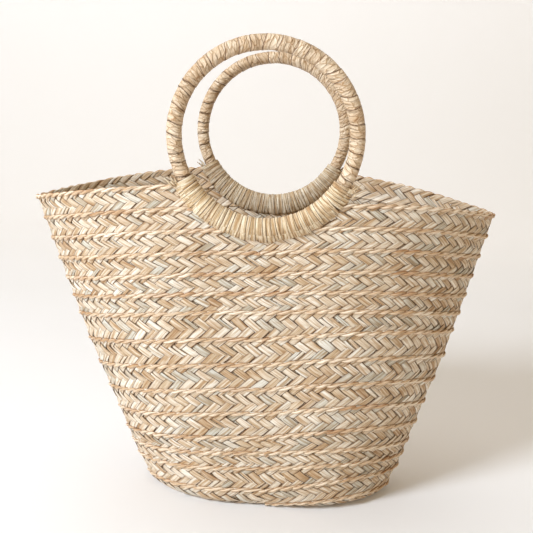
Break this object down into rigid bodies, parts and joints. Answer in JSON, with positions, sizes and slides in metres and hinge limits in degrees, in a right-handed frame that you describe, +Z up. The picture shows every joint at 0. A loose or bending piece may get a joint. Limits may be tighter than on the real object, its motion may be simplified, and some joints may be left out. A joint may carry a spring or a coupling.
{
  "type": "woven market basket",
  "caption": "Oval open-topped market basket of coiled palm plait with a flaring wall and a pair of leaf-wrapped ring handles lashed into notches in the rim.",
  "frame": {"origin": "centre of the mouth's width and depth, on the surface that the floor of the basket rests on", "axes": "+Z up, +X along the wide side, +Y from the front ring to the back ring"},
  "size_m": [0.4518, 0.216, 0.4469],
  "materials": {
    "plait": "matt dry palm leaf strips, plaited, cream to tan with some grey-green strips",
    "rope_ridge": "matt folded leaf edge, twisted rope look, tan",
    "sewing": "matt palm fibre thread",
    "ring_core": "bare cane",
    "ring_wrap": "smooth dry palm leaf with a faint sheen, creased",
    "lashing": "fine parallel raffia strands, cream, faint sheen"
  },
  "bodies": {
    "basket": {"wall_turn_01": "plait", "wall_turn_02": "plait", "wall_turn_03": "plait", "wall_turn_04": "plait", "wall_turn_05": "plait", "wall_turn_06": "plait", "wall_turn_07": "plait", "wall_turn_08": "plait", "wall_turn_09": "plait", "wall_turn_10": "plait", "wall_turn_11": "plait", "wall_turn_12": "plait", "wall_turn_13": "plait", "wall_turn_14_left": "plait", "wall_turn_14_right": "plait", "wall_turn_15_left": "plait", "wall_turn_15_right": "plait", "seam_rope_01": "rope_ridge", "seam_rope_02": "rope_ridge", "seam_rope_03": "rope_ridge", "seam_rope_04": "rope_ridge", "seam_rope_05": "rope_ridge", "seam_rope_06": "rope_ridge", "seam_rope_07": "rope_ridge", "seam_rope_08": "rope_ridge", "seam_rope_09": "rope_ridge", "seam_rope_10": "rope_ridge", "seam_rope_11": "rope_ridge", "seam_rope_12": "rope_ridge", "seam_rope_13_left": "rope_ridge", "seam_rope_13_right": "rope_ridge", "seam_rope_14_left": "rope_ridge", "seam_rope_14_right": "rope_ridge", "rim_rope_left": "rope_ridge", "rim_rope_right": "rope_ridge", "floor_strip": "plait", "floor_coil_inner": "plait", "floor_coil_outer": "plait", "floor_sewing_inner": "sewing", "floor_sewing_outer": "sewing"},
    "front_handle": {"front_ring_core": "ring_core", "front_ring_wrap": "ring_wrap", "front_lashing": "lashing"},
    "back_handle": {"back_ring_core": "ring_core", "back_ring_wrap": "ring_wrap", "back_lashing": "lashing"}
  },
  "joints": [
    {"name": "front_ring_lean", "type": "hinge", "parent": "basket", "child": "front_handle", "pos_m": [0, -0.095, 0.294], "axis": [-1, 0, 0], "range_deg": [-15, 20]},
    {"name": "back_ring_lean", "type": "hinge", "parent": "basket", "child": "back_handle", "pos_m": [0, 0.095, 0.294], "axis": [1, 0, 0], "range_deg": [-15, 20]}
  ]
}
